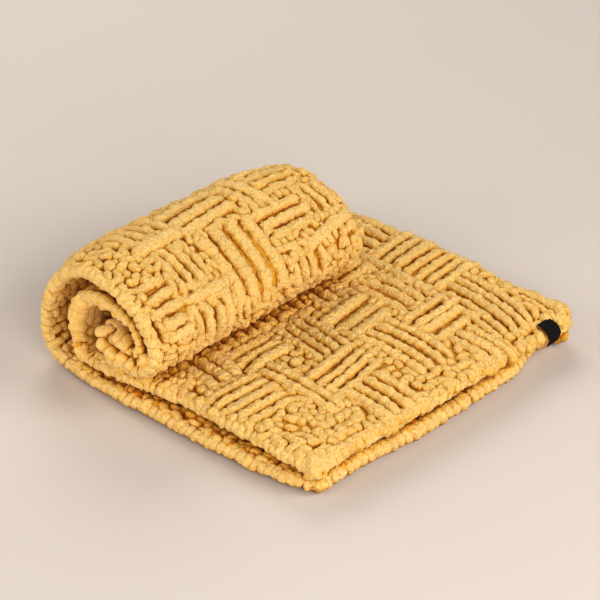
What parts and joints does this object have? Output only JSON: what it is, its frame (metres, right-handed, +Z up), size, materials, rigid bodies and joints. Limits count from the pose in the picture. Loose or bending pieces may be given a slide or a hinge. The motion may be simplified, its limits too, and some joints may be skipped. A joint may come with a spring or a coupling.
{
  "type": "chunky basketweave knitted baby blanket, folded and rolled",
  "caption": "Thick basketweave knitted baby blanket in plush yellow yarn, folded in half and turned over along one side into a loose roll.",
  "frame": {"origin": "under the middle of the folded blanket, on the floor", "axes": "+X from the roll to the open selvedge, +Y from the cloth's ends to the fold, +Z up"},
  "size_m": [0.3938, 0.4264, 0.1515],
  "materials": {
    "yarn": "plush chenille pile, matt",
    "tape": "woven satin tape"
  },
  "bodies": {
    "root": {"blanket": "yarn", "label": "tape"}
  },
  "joints": []
}
